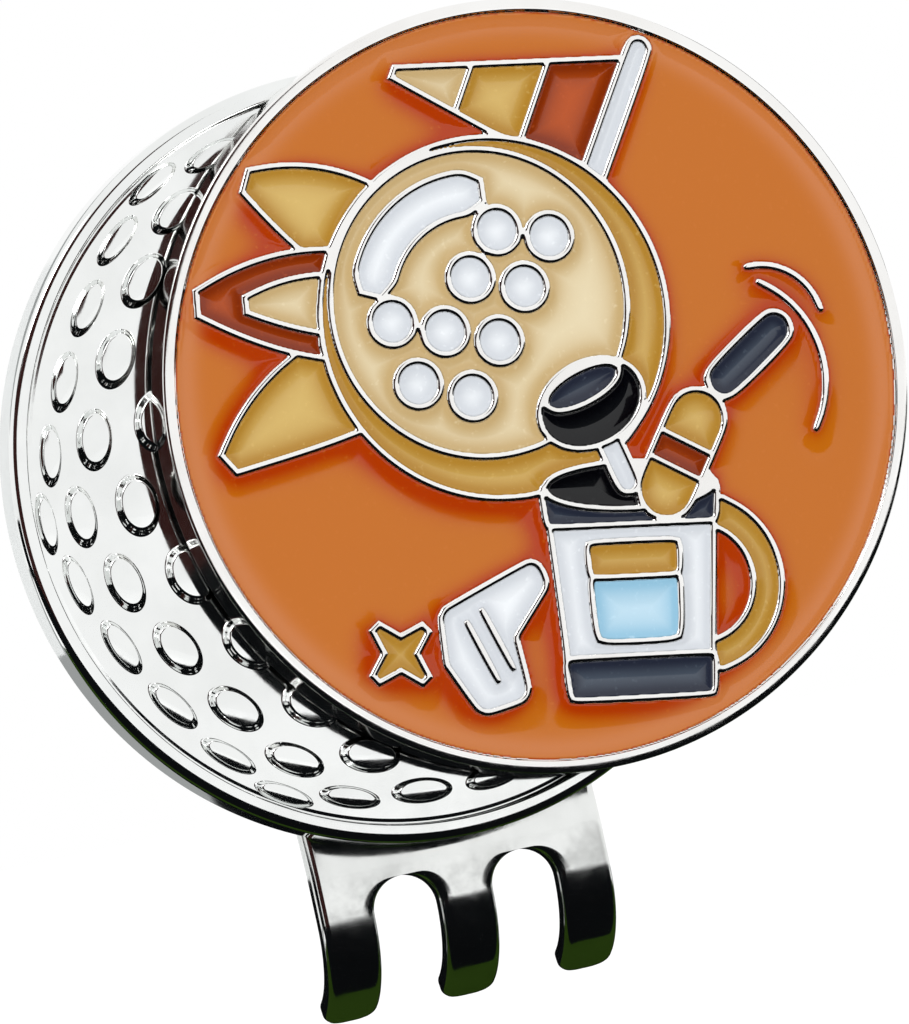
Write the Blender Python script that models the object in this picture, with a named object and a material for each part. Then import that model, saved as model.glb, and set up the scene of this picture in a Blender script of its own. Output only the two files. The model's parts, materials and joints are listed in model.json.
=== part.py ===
"""Golf ball marker on its magnetic hat clip, at real size.

The clip stands upright: its long axis is Z, its dimpled face looks along -Y and the back that
lies against a cap's brim is the plane y = 0. Lengths are millimetres here and become metres when
a mesh is made.
"""
import math

import bmesh
import bpy
from mathutils import Matrix, Vector

MM = 0.001

# Clip plate
PLATE_RADIUS = 12.5
PLATE_THICKNESS = 1.6
RIM_WIDTH = 0.65
RIM_HEIGHT = 0.28
RIM_SLOPE = 0.12
EDGE_ROUNDING = 0.2
PLATE_SIDES = 64

# Raised golf-ball pips on the plate
PIP_RADIUS = 0.98
PIP_SLOPE = 0.24
PIP_PITCH_DEG = 15.2
PIP_ROWS = range(2, 6)
PIP_SIDES = 10
PIP_BELOW_RIM = 0.03
PIP_ROOT = 0.15

# Disc magnet, its glue and its seat in the plate
MAGNET_RADIUS = 4.0
MAGNET_THICKNESS = 0.9
MAGNET_CHAMFER = 0.12
MAGNET_CLEARANCE = 0.05
GLUE_THICKNESS = 0.12
FIT_GAP = 0.02
COLLAR_WIDTH = 0.45
ROUND_SIDES = 40

# Spring clip: one strip, riveted on, folded over at the top, three fingers below
STRIP_WIDTH = 10.0
STRIP_THICKNESS = 0.8
FOLD_RADIUS = 1.45
FOLD_BELOW_EDGE = 3.1
TAB_LENGTH = 4.6
FOLD_STEPS = 8
LEAF_GAP = 0.4
TOUCH_PAST_EDGE = 0.1
LEAF_CLEAR = 0.25
BEND_PAST_EDGE = 1.9
FINGER_BEND_RADIUS = 2.9
FINGER_BEND_DEG = 76.0
FINGER_STEPS = 7
SLOT_WIDTH = 2.2
SLOT_PAST_EDGE = 0.8
SLOT_ARCH_STEPS = 8
FINGER_COUNT = 3
BESIDE_STRIP = 0.4

# Rivets that hold the strip's tab to the plate
RIVET_SPACING = 5.0
RIVET_BELOW_FOLD = 2.4
RIVET_SHANK_RADIUS = 0.6
RIVET_HEAD_RADIUS = 1.05
RIVET_HEAD_HEIGHT = 0.45
RIVET_DEPTH = 0.8
RIVET_SIDES = 16

# Marker coin
COIN_RADIUS = 12.5
COIN_THICKNESS = 1.5
COIN_RIM = 0.45
COIN_EDGE = 0.12
COIN_SIDES = 72
COIN_OFFSET_X = 4.95
COIN_OFFSET_Z = 1.15
COIN_TURN_DEG = -12.2
COIN_SEAT_GAP = 0.1
RECESS_DEPTH = 0.4
ENAMEL_BELOW_METAL = 0.12
DESIGN_RADIUS = 12.0

# Emblem, in millimetres on a field of DESIGN_RADIUS; u runs right and v runs up
LINE_WIDTH = 0.22
LEAST_POOL_AREA = 0.25
BALL_CENTRE = (-1.5, 2.1)
BALL_RADIUS = 5.7
BALL_FACE_RADIUS = 4.85
BALL_FACE_SHIFT = (-0.5, 0.46)
DIMPLE_RADIUS = 0.66
DIMPLE_PLACES = (
    (-2.9, -0.7),
    (-1.15, -0.95),
    (-2.05, -2.65),
    (-0.25, -3.0),
    (0.65, -1.2),
    (-0.3, 0.8),
    (1.5, 0.55),
    (2.35, 2.2),
    (0.6, 2.35),
)
GLINT_RADIUS = 3.55
GLINT_WIDTH = 1.15
GLINT_ARC = (98.0, 168.0)
STREAKS = (
    ("streak_upper_enamel", "ochre", 150.0, (-9.6, 6.2), 3.0),
    ("streak_lower_enamel", "ochre", 204.0, (-10.2, -2.7), 3.0),
    ("streak_middle_enamel", "rust", 177.0, (-11.2, 2.3), 3.3),
    ("streak_core_enamel", "cream", 177.0, (-9.6, 2.3), 1.7),
)
STAFF_FOOT = (1.4, 5.6)
STAFF_TOP = (3.4, 10.9)
STAFF_WIDTH = 0.55
FLAG_HOIST_TOP = (3.0, 10.5)
FLAG_HOIST_FOOT = (1.6, 6.6)
FLAG_TIP = (-5.0, 9.9)
FLAG_BANDS = (
    ("flag_tip_enamel", "cream", 0.64, 1.0),
    ("flag_middle_enamel", "ochre", 0.32, 0.64),
    ("flag_hoist_enamel", "rust", 0.0, 0.32),
)
NECK_WIDTH = 0.55
GRIP_FOOT = (6.2, 0.3)
GRIP_END = (7.9, 1.95)
GRIP_WIDTH = 1.0
BLADE = ((-0.25, -5.7), (-3.3, -7.4), (-3.1, -9.0), (-2.0, -10.5), (-0.5, -10.0), (-1.0, -8.1), (0.1, -6.4))
BLADE_ROUNDING = 0.45
GROOVE_WIDTH = 0.24
GROOVES = (((-2.5, -7.7), (-1.5, -9.5)), ((-2.0, -7.3), (-1.0, -9.1)))
BAG_FOOT = (3.35, -9.9)
BAG_TOP = (2.95, -3.2)
BAG_FOOT_WIDTH = 4.5
BAG_TOP_WIDTH = 5.5
BAG_ROUNDING = 0.35
BASE_SHARE = 0.17
CUFF_SHARE = 0.83
POCKET_SHARES = (0.27, 0.58)
FLAP_SHARES = (0.58, 0.72)
POCKET_WIDTH = 0.56
MOUTH_HEIGHT = 1.3
STRAP_BULGE = 2.1
STRAP_WIDTH = 0.75
DRIVER_CENTRE = (1.7, -0.6)
DRIVER_SIZE = (1.75, 1.25)
DRIVER_TURN_DEG = 28.0
SOLE_SHARE = 0.52
COVER_FOOT = (4.2, -3.3)
COVER_TOP = (5.25, -1.0)
COVER_WIDTH = 1.7
COVER_BAND = (0.34, 0.62)
SPARKLE_CENTRE = (-4.7, -8.7)
SPARKLE_REACH = 1.05
SPARKLE_WAIST = 0.42
SWING_ARCS = (((6.25, 0.27), 3.41, -26.0, 70.0), ((7.57, 1.99), 2.04, 19.0, 106.0))
SWING_WIDTH = 0.24

FOLD_HEIGHT = PLATE_RADIUS - FOLD_BELOW_EDGE
RIVET_Z = FOLD_HEIGHT - RIVET_BELOW_FOLD
LEAF_TOUCH_Z = -PLATE_RADIUS - TOUCH_PAST_EDGE
FINGER_BEND_Z = -PLATE_RADIUS - BEND_PAST_EDGE
SLOT_TOP_Z = -PLATE_RADIUS - SLOT_PAST_EDGE
RECESS_RADIUS = COIN_RADIUS - COIN_RIM
ART = RECESS_RADIUS / DESIGN_RADIUS

COLOURS = {
    "nickel": ((0.80, 0.79, 0.76), 0.16, 1.0),
    "chrome": ((0.84, 0.85, 0.86), 0.08, 1.0),
    "spring": ((0.78, 0.79, 0.80), 0.12, 1.0),
    "magnet": ((0.60, 0.60, 0.61), 0.28, 1.0),
    "glue": ((0.72, 0.68, 0.52), 0.35, 0.0),
    "orange": ((0.56, 0.155, 0.03), 0.10, 0.0),
    "ochre": ((0.70, 0.47, 0.14), 0.10, 0.0),
    "cream": ((0.80, 0.68, 0.43), 0.10, 0.0),
    "rust": ((0.42, 0.08, 0.012), 0.10, 0.0),
    "white": ((0.86, 0.87, 0.90), 0.10, 0.0),
    "slate": ((0.07, 0.075, 0.12), 0.10, 0.0),
    "black": ((0.006, 0.006, 0.008), 0.08, 0.0),
    "blue": ((0.50, 0.76, 0.88), 0.10, 0.0),
}


# Outlines: lists of (u, v), anticlockwise -----------------------------------------------------
def arc(centre, radius, start_deg, end_deg, steps):
    """Points along a circular arc, both ends included."""
    points = []
    for step in range(steps + 1):
        angle = math.radians(start_deg + (end_deg - start_deg) * step / steps)
        points.append((centre[0] + radius * math.cos(angle), centre[1] + radius * math.sin(angle)))
    return points


def circle(centre, radius, sides):
    return arc(centre, radius, 0.0, 360.0, sides)[:-1]


def ellipse(centre, half_long, half_short, turn_deg, sides):
    turn = math.radians(turn_deg)
    points = []
    for u, v in circle((0.0, 0.0), 1.0, sides):
        a, b = u * half_long, v * half_short
        u_turned = a * math.cos(turn) - b * math.sin(turn)
        v_turned = a * math.sin(turn) + b * math.cos(turn)
        points.append((centre[0] + u_turned, centre[1] + v_turned))
    return points


def heading(start, end):
    return math.degrees(math.atan2(end[1] - start[1], end[0] - start[0]))


def between(start, end, share):
    return (start[0] + (end[0] - start[0]) * share, start[1] + (end[1] - start[1]) * share)


def capsule(start, end, width, steps=4):
    """A straight bar with round ends."""
    turn = heading(start, end)
    return arc(end, width / 2, turn - 90, turn + 90, steps) + arc(start, width / 2, turn + 90, turn + 270, steps)


def bent_bar(centre, radius, width, start_deg, end_deg, steps=10):
    """A bar that follows a circular arc, with round ends."""
    outer = arc(centre, radius + width / 2, start_deg, end_deg, steps)
    inner = arc(centre, radius - width / 2, end_deg, start_deg, steps)
    far = arc(centre, radius, end_deg, end_deg, 1)[0]
    near = arc(centre, radius, start_deg, start_deg, 1)[0]
    far_cap = arc(far, width / 2, end_deg, end_deg + 180, 3)[1:-1]
    near_cap = arc(near, width / 2, start_deg + 180, start_deg + 360, 3)[1:-1]
    return outer + far_cap + inner + near_cap


def rounded(corners, radius, steps=3):
    """A polygon with each corner replaced by an arc of this radius."""
    points = []
    count = len(corners)
    for index, corner in enumerate(corners):
        before = Vector(corners[index - 1]) - Vector(corner)
        after = Vector(corners[(index + 1) % count]) - Vector(corner)
        half = before.angle(after) / 2
        reach = min(radius / math.tan(half), 0.45 * before.length, 0.45 * after.length)
        start = Vector(corner) + before.normalized() * reach
        end = Vector(corner) + after.normalized() * reach
        for step in range(steps + 1):
            share = step / steps
            near = start.lerp(Vector(corner), share)
            far = Vector(corner).lerp(end, share)
            points.append(tuple(near.lerp(far, share)))
    return points


def horn(root, root_heading_deg, tip, width, steps=7):
    """A tapering streak whose middle line leaves the root on this heading and ends at the tip."""
    reach = 0.5 * math.dist(root, tip)
    bend = arc(root, reach, root_heading_deg, root_heading_deg, 1)[0]
    right, left = [], []
    for step in range(steps + 1):
        share = step / steps
        near = between(root, bend, share)
        far = between(bend, tip, share)
        middle = between(near, far, share)
        side = math.radians(heading(near, far) + 90)
        half = width / 2 * (1 - 0.8 * share * share)
        offset = (half * math.cos(side), half * math.sin(side))
        right.append((middle[0] - offset[0], middle[1] - offset[1]))
        left.append((middle[0] + offset[0], middle[1] + offset[1]))
    return right + left[::-1]


def star(centre, reach, waist):
    """A four-pointed star with hollow sides."""
    points = []
    for corner in range(4):
        turn = 45 + 90 * corner
        points += arc(centre, reach, turn - 4, turn + 4, 1)
        points += arc(centre, waist * 1.25, turn + 28, turn + 28, 1)[:1]
        points += arc(centre, waist, turn + 45, turn + 45, 1)[:1]
        points += arc(centre, waist * 1.25, turn + 62, turn + 62, 1)[:1]
    return points


def grown(outline, distance):
    """The outline moved outwards by a distance, mitred at its corners."""
    points = []
    count = len(outline)
    for index, point in enumerate(outline):
        into = (Vector(point) - Vector(outline[index - 1])).normalized()
        out = (Vector(outline[(index + 1) % count]) - Vector(point)).normalized()
        mitre = Vector((into.y + out.y, -into.x - out.x))
        if mitre.length < 1e-9:
            mitre = Vector((into.y, -into.x))
        mitre.normalize()
        stretch = max(0.5, mitre.dot(Vector((into.y, -into.x))))
        points.append(tuple(Vector(point) + mitre * (distance / stretch)))
    return points


def bag_slice(low, high, width_share=1.0):
    """The part of the bag between two shares of its height."""
    side = math.radians(heading(BAG_FOOT, BAG_TOP) - 90)
    corners = []
    for share, sign in ((low, -1), (low, 1), (high, 1), (high, -1)):
        middle = between(BAG_FOOT, BAG_TOP, share)
        half = sign * width_share * (BAG_FOOT_WIDTH + (BAG_TOP_WIDTH - BAG_FOOT_WIDTH) * share) / 2
        corners.append((middle[0] + half * math.cos(side), middle[1] + half * math.sin(side)))
    return corners


def emblem():
    """The emblem from back to front: (node name, colour, outline). A colour of None is bare metal."""
    shapes = []
    for name, colour, root_deg, tip, width in STREAKS:
        root = arc(BALL_CENTRE, BALL_RADIUS - 0.6, root_deg, root_deg, 1)[0]
        shapes.append((name, colour, horn(root, root_deg, tip, width)))
    for name, colour, low, high in FLAG_BANDS:
        tip_cut = min(high, 0.96)
        corners = (
            between(FLAG_HOIST_TOP, FLAG_TIP, low),
            between(FLAG_HOIST_TOP, FLAG_TIP, tip_cut),
            between(FLAG_HOIST_FOOT, FLAG_TIP, tip_cut),
            between(FLAG_HOIST_FOOT, FLAG_TIP, low),
        )
        shapes.append((name, colour, list(corners)))
    shapes.append(("flag_staff_enamel", "white", capsule(STAFF_FOOT, STAFF_TOP, STAFF_WIDTH)))
    shapes.append(("ball_shade_enamel", "ochre", circle(BALL_CENTRE, BALL_RADIUS, 36)))
    face = (BALL_CENTRE[0] + BALL_FACE_SHIFT[0], BALL_CENTRE[1] + BALL_FACE_SHIFT[1])
    shapes.append(("ball_face_enamel", "cream", circle(face, BALL_FACE_RADIUS, 32)))
    for number, (u, v) in enumerate(DIMPLE_PLACES, 1):
        place = (face[0] + u, face[1] + v)
        shapes.append((f"ball_dimple_{number}_enamel", "white", circle(place, DIMPLE_RADIUS, 12)))
    shapes.append(("ball_glint_enamel", "white", bent_bar(face, GLINT_RADIUS, GLINT_WIDTH, *GLINT_ARC, 7)))
    shapes.append(("iron_grip_enamel", "slate", capsule(GRIP_FOOT, GRIP_END, GRIP_WIDTH)))
    shapes.append(("iron_blade_enamel", "white", rounded(BLADE, BLADE_ROUNDING, 3)))
    for start, end in GROOVES:
        shapes.append((None, None, capsule(start, end, GROOVE_WIDTH, 3)))
    side = math.radians(heading(BAG_FOOT, BAG_TOP) - 90)
    strap_middle = between(BAG_FOOT, BAG_TOP, 0.52)
    strap_reach = 0.36 * math.dist(BAG_FOOT, BAG_TOP)
    strap_out = BAG_TOP_WIDTH / 2 + STRAP_BULGE - strap_reach - STRAP_WIDTH / 2
    strap_centre = (strap_middle[0] + strap_out * math.cos(side), strap_middle[1] + strap_out * math.sin(side))
    strap = bent_bar(strap_centre, strap_reach, STRAP_WIDTH, -72, 72, 9)
    shapes.append(("bag_strap_enamel", "ochre", strap))
    shapes.append(("bag_body_enamel", "white", rounded(bag_slice(0.0, 1.0), BAG_ROUNDING, 2)))
    shapes.append(("bag_base_enamel", "slate", rounded(bag_slice(0.0, BASE_SHARE, 1.04), BAG_ROUNDING / 2, 2)))
    shapes.append(("bag_cuff_enamel", "slate", rounded(bag_slice(CUFF_SHARE, 1.0, 1.04), BAG_ROUNDING / 2, 2)))
    pocket = rounded(bag_slice(*POCKET_SHARES, POCKET_WIDTH), BAG_ROUNDING, 2)
    shapes.append(("bag_pocket_enamel", "blue", pocket))
    flap = rounded(bag_slice(*FLAP_SHARES, POCKET_WIDTH), BAG_ROUNDING / 2, 2)
    shapes.append(("bag_flap_enamel", "ochre", flap))
    mouth = ellipse(BAG_TOP, BAG_TOP_WIDTH / 2, MOUTH_HEIGHT / 2, math.degrees(side), 20)
    shapes.append(("bag_mouth_enamel", "black", mouth))
    neck = capsule(between(BAG_TOP, DRIVER_CENTRE, 0.05), DRIVER_CENTRE, NECK_WIDTH)
    shapes.append(("driver_neck_enamel", "white", neck))
    driver = ellipse(DRIVER_CENTRE, *DRIVER_SIZE, DRIVER_TURN_DEG, 20)
    shapes.append(("driver_head_enamel", "black", driver))
    sole_way = math.radians(DRIVER_TURN_DEG + 90)
    sole_shift = DRIVER_SIZE[1] * (1 - SOLE_SHARE)
    sole = (DRIVER_CENTRE[0] + sole_shift * math.cos(sole_way), DRIVER_CENTRE[1] + sole_shift * math.sin(sole_way))
    sole_outline = ellipse(sole, DRIVER_SIZE[0] * 0.72, DRIVER_SIZE[1] * 0.34, DRIVER_TURN_DEG, 14)
    shapes.append(("driver_sole_enamel", "slate", sole_outline))
    shapes.append(("headcover_enamel", "ochre", capsule(COVER_FOOT, COVER_TOP, COVER_WIDTH, 7)))
    band_low = between(COVER_FOOT, COVER_TOP, COVER_BAND[0])
    band_high = between(COVER_FOOT, COVER_TOP, COVER_BAND[1])
    across = math.radians(heading(COVER_FOOT, COVER_TOP) - 90)
    reach_u, reach_v = COVER_WIDTH / 2 * math.cos(across), COVER_WIDTH / 2 * math.sin(across)
    band = [
        (band_low[0] - reach_u, band_low[1] - reach_v),
        (band_low[0] + reach_u, band_low[1] + reach_v),
        (band_high[0] + reach_u, band_high[1] + reach_v),
        (band_high[0] - reach_u, band_high[1] - reach_v),
    ]
    shapes.append(("headcover_band_enamel", "rust", band))
    shapes.append(("sparkle_enamel", "ochre", star(SPARKLE_CENTRE, SPARKLE_REACH, SPARKLE_WAIST)))
    for centre, radius, start, end in SWING_ARCS:
        shapes.append((None, None, bent_bar(centre, radius, SWING_WIDTH, start, end, 9)))
    scaled = []
    for name, colour, outline in shapes:
        scaled.append((name, colour, facing([(u * ART, v * ART) for u, v in outline])))
    return scaled


def facing(outline):
    """The same outline, turned to run anticlockwise."""
    doubled = 0.0
    for index, (u, v) in enumerate(outline):
        doubled += outline[index - 1][0] * v - u * outline[index - 1][1]
    return outline if doubled > 0 else outline[::-1]


# Solids --------------------------------------------------------------------------------------
def clear_scene():
    for item in list(bpy.data.objects):
        bpy.data.objects.remove(item, do_unlink=True)


def material_for(node, colour):
    material = bpy.data.materials.new(node)
    material.use_nodes = True
    base, roughness, metallic = COLOURS[colour]
    shader = material.node_tree.nodes["Principled BSDF"]
    shader.inputs["Base Color"].default_value = (*base, 1.0)
    shader.inputs["Roughness"].default_value = roughness
    shader.inputs["Metallic"].default_value = metallic
    return material


def mesh_object(name, bm, helper=False):
    """An object from a bmesh in millimetres; a helper is never drawn."""
    bmesh.ops.recalc_face_normals(bm, faces=bm.faces[:])
    if bm.calc_volume(signed=True) < 0:
        bmesh.ops.reverse_faces(bm, faces=bm.faces[:])
    bmesh.ops.scale(bm, vec=(MM, MM, MM), verts=bm.verts[:])
    mesh = bpy.data.meshes.new(name)
    bm.to_mesh(mesh)
    bm.free()
    item = bpy.data.objects.new(name, mesh)
    bpy.context.scene.collection.objects.link(item)
    if helper:
        item.hide_render = True
        item.display_type = "WIRE"
    return item


def add_prism(bm, outline, low, high):
    """Adds the solid between two heights over an outline."""
    bottom = [bm.verts.new((u, v, low)) for u, v in outline]
    top = [bm.verts.new((u, v, high)) for u, v in outline]
    count = len(outline)
    bm.faces.new(bottom[::-1])
    bm.faces.new(top)
    for index in range(count):
        after = (index + 1) % count
        bm.faces.new((bottom[index], bottom[after], top[after], top[index]))


def prism(name, outline, low, high):
    bm = bmesh.new()
    add_prism(bm, outline, low, high)
    return mesh_object(name, bm, helper=True)


def lathe(name, profile, sides, helper=False):
    """A solid turned about the local Z axis. The profile runs from axis to axis as (radius, height)."""
    bm = bmesh.new()
    rings = []
    for radius, height in profile:
        if radius == 0:
            rings.append([bm.verts.new((0.0, 0.0, height))])
        else:
            rings.append([bm.verts.new((u, v, height)) for u, v in circle((0.0, 0.0), radius, sides)])
    for below, above in zip(rings, rings[1:]):
        for index in range(sides):
            after = (index + 1) % sides
            corners = [below[index % len(below)], below[after % len(below)]]
            corners += [above[after % len(above)], above[index % len(above)]]
            bm.faces.new(list(dict.fromkeys(corners)))
    return mesh_object(name, bm, helper)


def combined(target, operation, cutter, keep_cutter=False):
    """Applies one exact Boolean to the target."""
    modifier = target.modifiers.new("cut", "BOOLEAN")
    modifier.solver = "EXACT"
    modifier.operation = operation
    modifier.object = cutter
    bpy.context.view_layer.update()
    graph = bpy.context.evaluated_depsgraph_get()
    mesh = bpy.data.meshes.new_from_object(target.evaluated_get(graph))
    target.modifiers.clear()
    target.data = mesh
    if not keep_cutter:
        bpy.data.objects.remove(cutter, do_unlink=True)
    return target


def span(outline):
    us = [u for u, v in outline]
    vs = [v for u, v in outline]
    return min(us), max(us), min(vs), max(vs)


def meet(first, second):
    a, b = span(first), span(second)
    return a[0] < b[1] and b[0] < a[1] and a[2] < b[3] and b[2] < a[3]


def pool_solid(name, outline, above, inset, low, high):
    """The open area of one emblem shape: its outline less every shape in front of it and its line."""
    own = grown(outline, -inset) if inset else outline
    solid = prism(name, own, low, high)
    for colour, other in above:
        line = LINE_WIDTH * ART if colour else 0.0
        edge = grown(other, line + inset) if line + inset else other
        if meet(own, edge):
            combined(solid, "DIFFERENCE", prism("cutter", edge, low - 1, high + 1))
    return solid


def loose_parts(item):
    """Splits an object into its separate solids, largest first, and drops the ones too small to fill."""
    bm = bmesh.new()
    bm.from_mesh(item.data)
    bmesh.ops.remove_doubles(bm, verts=bm.verts[:], dist=2e-7)
    bmesh.ops.dissolve_degenerate(bm, edges=bm.edges[:], dist=2e-7)
    left = set(bm.faces)
    groups = []
    while left:
        seed = min(left, key=lambda face: face.index)
        group, stack = {seed}, [seed]
        while stack:
            for edge in stack.pop().edges:
                for face in edge.link_faces:
                    if face not in group:
                        group.add(face)
                        stack.append(face)
        left -= group
        top = sum(face.calc_area() for face in group if face.normal.z > 0.9) / MM**2
        if top >= LEAST_POOL_AREA * ART * ART:
            groups.append((top, group))
    groups.sort(key=lambda pair: -pair[0])
    solids = []
    for _, group in groups:
        solid = bmesh.new()
        made = {}
        for face in sorted(group, key=lambda face: face.index):
            corners = []
            for vert in face.verts:
                if vert.index not in made:
                    made[vert.index] = solid.verts.new(vert.co / MM)
                corners.append(made[vert.index])
            solid.faces.new(corners)
        solids.append(solid)
    bm.free()
    bpy.data.objects.remove(item, do_unlink=True)
    return solids


def finish(item, matrix, colour, smooth_deg=None):
    """Places a finished piece, gives it its material and shades its round faces smooth."""
    item.matrix_world = matrix
    item.data.materials.clear()
    item.data.materials.append(material_for(item.name, colour))
    for face in item.data.polygons:
        face.material_index = 0
    if smooth_deg:
        item.data.shade_smooth()
        item.data.set_sharp_from_angle(angle=math.radians(smooth_deg))
    return item


def facing_out(x, y, z, turn_deg=0.0):
    """A frame whose Z axis points out of the clip's face, with its XY plane turned by an angle."""
    turn = math.radians(turn_deg)
    right = Vector((math.cos(turn), 0.0, math.sin(turn)))
    up = Vector((-math.sin(turn), 0.0, math.cos(turn)))
    frame = Matrix((right, up, Vector((0.0, -1.0, 0.0)))).transposed().to_4x4()
    frame.translation = Vector((x, y, z)) * MM
    return frame


# Marker --------------------------------------------------------------------------------------
def build_marker():
    frame = facing_out(COIN_OFFSET_X, -PLATE_THICKNESS - COIN_SEAT_GAP, COIN_OFFSET_Z, COIN_TURN_DEG)
    floor = COIN_THICKNESS - RECESS_DEPTH
    over = COIN_THICKNESS + 0.5
    enamel_top = COIN_THICKNESS - ENAMEL_BELOW_METAL
    ground = circle((0.0, 0.0), RECESS_RADIUS, COIN_SIDES)
    shapes = [("ground_enamel", "orange", ground)] + emblem()
    pockets = bmesh.new()
    for index, (name, colour, outline) in enumerate(shapes):
        if colour is None:
            continue
        above = [(other_colour, other) for _, other_colour, other in shapes[index + 1 :]]
        pocket = pool_solid("pocket", outline, above, 0.0, floor, over)
        for part in loose_parts(pocket):
            spare = bpy.data.meshes.new("spare")
            part.to_mesh(spare)
            part.free()
            pockets.from_mesh(spare)
        enamel = pool_solid("pool", outline, above, FIT_GAP, floor + FIT_GAP, enamel_top)
        for number, part in enumerate(loose_parts(enamel), 1):
            label = name if number == 1 else f"{name}_{number}"
            finish(mesh_object(label, part), frame, colour)
    edge = COIN_EDGE
    body = [
        (0.0, 0.0),
        (COIN_RADIUS - edge, 0.0),
        (COIN_RADIUS, edge),
        (COIN_RADIUS, COIN_THICKNESS - edge),
        (COIN_RADIUS - edge, COIN_THICKNESS),
        (0.0, COIN_THICKNESS),
    ]
    blank = lathe("marker_blank", body, COIN_SIDES)
    combined(blank, "DIFFERENCE", mesh_object("pockets", pockets, helper=True))
    finish(blank, frame, "nickel", 30)


# Clip plate ----------------------------------------------------------------------------------
def pip_places():
    """(polar angle, direction) of each pip: a hexagon grid wrapped over a ball as wide as the face."""
    places = []
    for row in PIP_ROWS:
        for side in range(6):
            corner = Vector((math.cos(math.radians(60 * side)), math.sin(math.radians(60 * side))))
            following = Vector((math.cos(math.radians(60 * side + 60)), math.sin(math.radians(60 * side + 60))))
            for step in range(row):
                spot = corner * row + (following - corner) * step
                places.append((PIP_PITCH_DEG * spot.length, math.degrees(math.atan2(spot.y, spot.x))))
    return places


def build_plate():
    frame = facing_out(0.0, 0.0, 0.0)
    ground = PLATE_THICKNESS - RIM_HEIGHT
    rim_in = PLATE_RADIUS - RIM_WIDTH
    collar_out = MAGNET_RADIUS + MAGNET_CLEARANCE + COLLAR_WIDTH
    pip_top = PLATE_THICKNESS - PIP_BELOW_RIM
    # The flat back is parted just outside the strip, so that each wing beside it has its own faces.
    profile = [
        (0.0, 0.0),
        (STRIP_WIDTH / 2 + BESIDE_STRIP, 0.0),
        (PLATE_RADIUS - EDGE_ROUNDING, 0.0),
        (PLATE_RADIUS, EDGE_ROUNDING),
        (PLATE_RADIUS, PLATE_THICKNESS - EDGE_ROUNDING),
        (PLATE_RADIUS - EDGE_ROUNDING, PLATE_THICKNESS),
        (rim_in + RIM_SLOPE, PLATE_THICKNESS),
        (rim_in, ground),
        (collar_out + RIM_SLOPE, ground),
        (collar_out, pip_top),
        (0.0, pip_top),
    ]
    plate = lathe("clip_plate", profile, PLATE_SIDES)
    ball_radius = rim_in
    bm = bmesh.new()
    for polar, way in pip_places():
        squeeze = math.cos(math.radians(polar))
        distance = ball_radius * math.sin(math.radians(polar))
        place = arc((0.0, 0.0), distance, way, way, 1)[0]
        rings = []
        for spread, height in ((PIP_SLOPE / 2, ground - PIP_ROOT), (0.0, ground), (-PIP_SLOPE, pip_top)):
            across = PIP_RADIUS + spread
            ring = ellipse(place, across * max(squeeze, 0.3), across, way, PIP_SIDES)
            rings.append([bm.verts.new((u, v, height)) for u, v in ring])
        bm.faces.new(rings[0][::-1])
        bm.faces.new(rings[-1])
        for below, above in zip(rings, rings[1:]):
            for index in range(PIP_SIDES):
                after = (index + 1) % PIP_SIDES
                bm.faces.new((below[index], below[after], above[after], above[index]))
    combined(plate, "UNION", mesh_object("pips", bm, helper=True))
    seat_floor = pip_top - MAGNET_THICKNESS - GLUE_THICKNESS - 2 * FIT_GAP
    seat = prism("seat", circle((0.0, 0.0), MAGNET_RADIUS + MAGNET_CLEARANCE, ROUND_SIDES), seat_floor, 5.0)
    combined(plate, "DIFFERENCE", seat)
    for x in (-RIVET_SPACING / 2, RIVET_SPACING / 2):
        hole = circle((x, RIVET_Z), RIVET_SHANK_RADIUS + FIT_GAP, RIVET_SIDES)
        combined(plate, "DIFFERENCE", prism("hole", hole, -1.0, RIVET_DEPTH + FIT_GAP))
    finish(plate, frame, "chrome", 35)

    glue_low = seat_floor + FIT_GAP
    glue_high = glue_low + GLUE_THICKNESS
    glue = [(0.0, glue_low), (MAGNET_RADIUS, glue_low), (MAGNET_RADIUS, glue_high), (0.0, glue_high)]
    finish(lathe("magnet_glue", glue, ROUND_SIDES), frame, "glue", 30)
    low = glue_high + FIT_GAP
    high = low + MAGNET_THICKNESS
    magnet = [
        (0.0, low),
        (MAGNET_RADIUS - MAGNET_CHAMFER, low),
        (MAGNET_RADIUS, low + MAGNET_CHAMFER),
        (MAGNET_RADIUS, high - MAGNET_CHAMFER),
        (MAGNET_RADIUS - MAGNET_CHAMFER, high),
        (0.0, high),
    ]
    finish(lathe("disc_magnet", magnet, ROUND_SIDES), frame, "magnet", 30)


# Spring clip ---------------------------------------------------------------------------------
def strip_solid(name, middle_line):
    """A strip of the spring's width and thickness that follows a line of (y, z) points."""
    bm = bmesh.new()
    front, back = [], []
    count = len(middle_line)
    for index, point in enumerate(middle_line):
        before = Vector(middle_line[max(index - 1, 0)])
        after = Vector(middle_line[min(index + 1, count - 1)])
        run = (after - before).normalized()
        side = Vector((run.y, -run.x)) * (STRIP_THICKNESS / 2)
        front.append(tuple(Vector(point) + side))
        back.append(tuple(Vector(point) - side))
    outline = front + back[::-1]
    left = [bm.verts.new((-STRIP_WIDTH / 2, y, z)) for y, z in outline]
    right = [bm.verts.new((STRIP_WIDTH / 2, y, z)) for y, z in outline]
    total = len(outline)
    for loop, sign in ((left, 1), (right, -1)):
        for index in range(count - 1):
            corners = (loop[index], loop[index + 1], loop[total - 2 - index], loop[total - 1 - index])
            bm.faces.new(corners[::sign])
    for index in range(total):
        after = (index + 1) % total
        bm.faces.new((left[index], right[index], right[after], left[after]))
    return mesh_object(name, bm)


def tab_middle():
    return FIT_GAP + STRIP_THICKNESS / 2


def fold_centre():
    return (tab_middle() + FOLD_RADIUS, FOLD_HEIGHT)


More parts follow.
